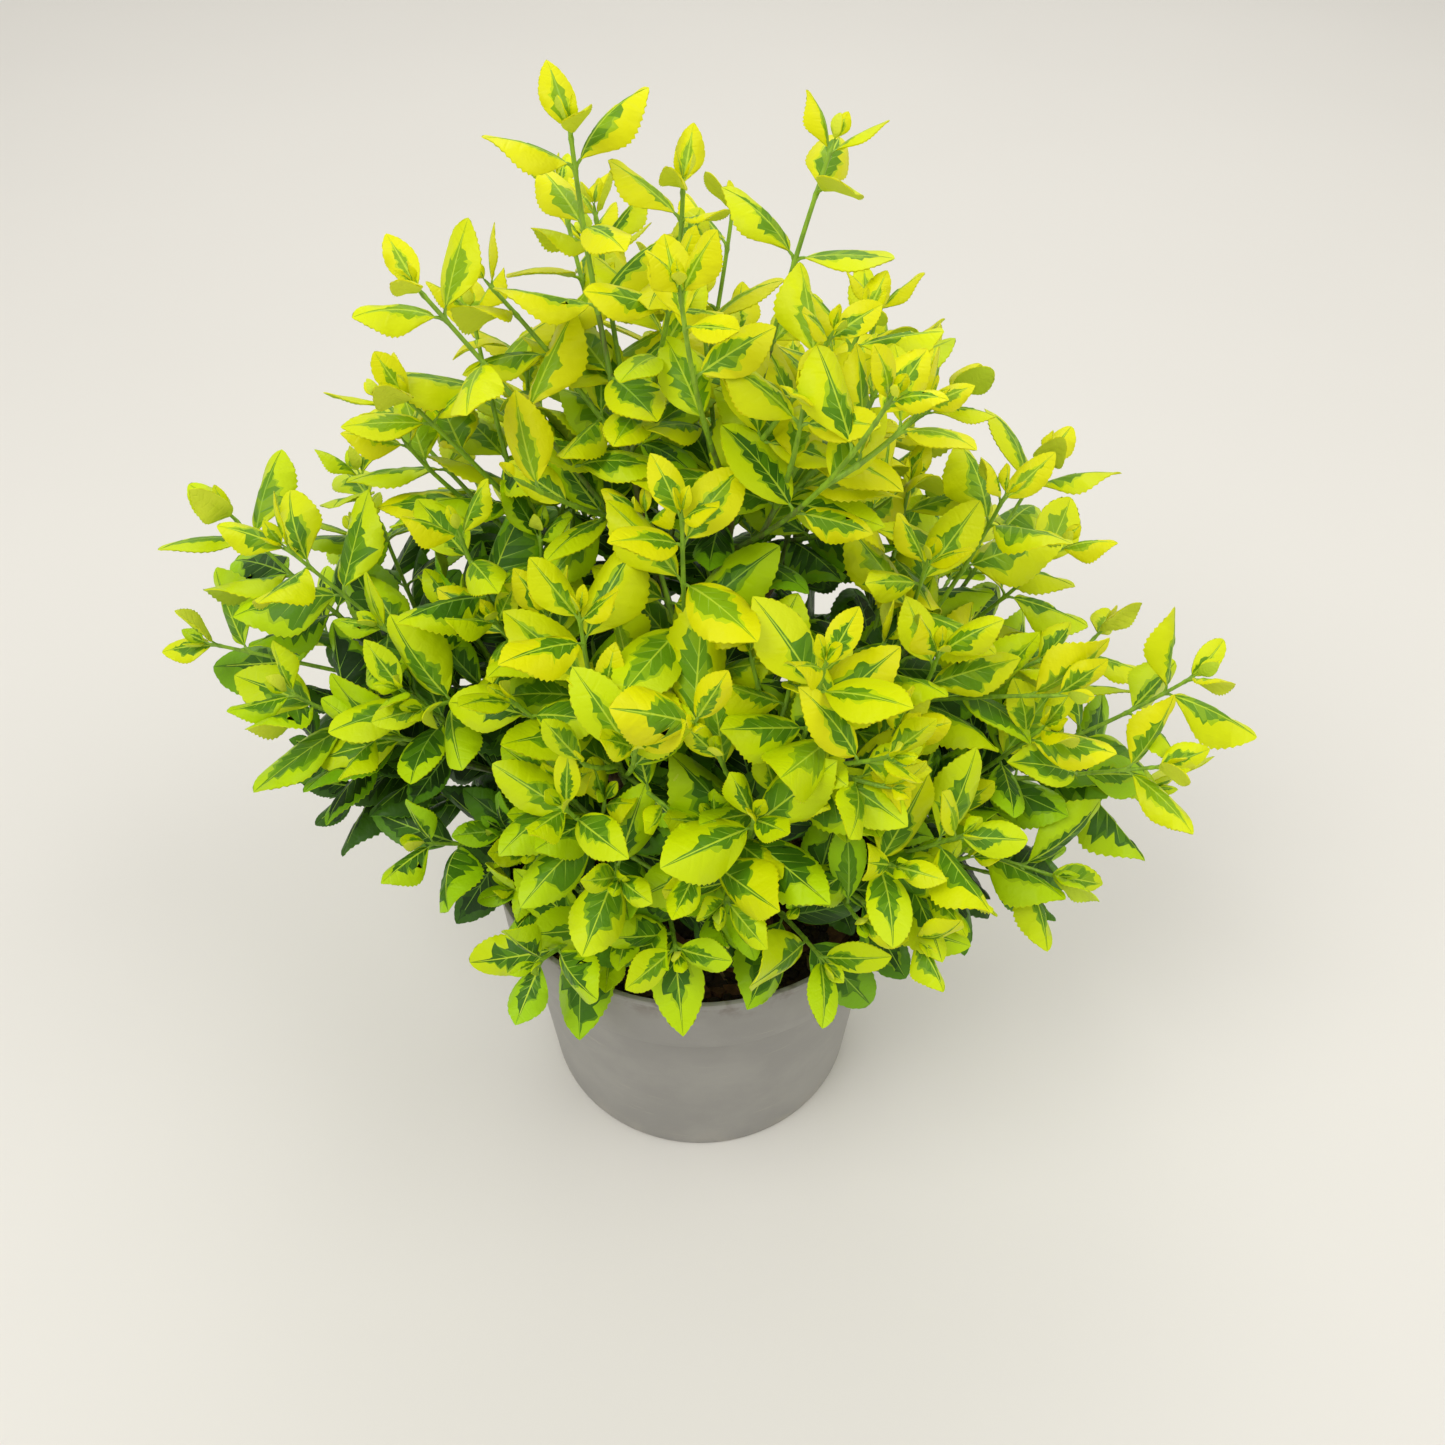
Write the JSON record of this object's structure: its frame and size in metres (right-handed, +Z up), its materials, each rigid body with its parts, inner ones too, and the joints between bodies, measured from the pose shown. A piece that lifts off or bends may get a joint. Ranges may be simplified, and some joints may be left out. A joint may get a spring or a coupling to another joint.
{
  "type": "potted wintercreeper euonymus",
  "caption": "Evergreen groundcover shrub with gold-edged green leaves, a loose mound of leafy shoots on woody stems in a round nursery pot.",
  "frame": {"origin": "middle of the pot's flat underside", "axes": "+Z up, the front of the plant faces -Y, +X to the right seen from the front"},
  "size_m": [0.3734, 0.2453, 0.3975],
  "materials": {
    "pot_plastic": "satin moulded plastic",
    "potting_soil": "crumbly peat and bark",
    "woody_stem": "rough brown bark",
    "green_stem": "smooth green bark",
    "foliage": "waxy variegated leaves"
  },
  "bodies": {
    "root": {"bough_back": "green_stem", "bough_back_left": "green_stem", "bough_back_low": "green_stem", "bough_back_right": "green_stem", "bough_crown_middle": "green_stem", "bough_front_high": "green_stem", "bough_front_left": "green_stem", "bough_front_left_high": "green_stem", "bough_front_left_low": "green_stem", "bough_front_low": "green_stem", "bough_front_middle": "green_stem", "bough_front_right": "green_stem", "bough_left": "green_stem", "bough_left_back": "green_stem", "bough_left_back_low": "green_stem", "bough_left_high": "green_stem", "bough_left_low": "green_stem", "bough_right": "green_stem", "bough_right_back": "green_stem", "bough_right_front": "green_stem", "bough_right_high": "green_stem", "bough_right_low": "green_stem", "bough_top_left": "green_stem", "bough_top_right": "green_stem", "bough_upper_back": "green_stem", "bough_upper_left": "green_stem", "foliage_back": "foliage", "foliage_back_left": "foliage", "foliage_back_low": "foliage", "foliage_back_right": "foliage", "foliage_crown_middle": "foliage", "foliage_front_high": "foliage", "foliage_front_left": "foliage", "foliage_front_left_high": "foliage", "foliage_front_left_low": "foliage", "foliage_front_low": "foliage", "foliage_front_middle": "foliage", "foliage_front_right": "foliage", "foliage_left": "foliage", "foliage_left_back": "foliage", "foliage_left_back_low": "foliage", "foliage_left_high": "foliage", "foliage_left_low": "foliage", "foliage_right": "foliage", "foliage_right_back": "foliage", "foliage_right_front": "foliage", "foliage_right_high": "foliage", "foliage_right_low": "foliage", "foliage_top_left": "foliage", "foliage_top_right": "foliage", "foliage_upper_back": "foliage", "foliage_upper_left": "foliage", "pot": "pot_plastic", "soil": "potting_soil", "stem_back": "woody_stem", "stem_front_left": "woody_stem", "stem_front_right": "woody_stem", "stem_left": "woody_stem", "stem_middle": "woody_stem", "stem_right": "woody_stem"}
  },
  "joints": []
}
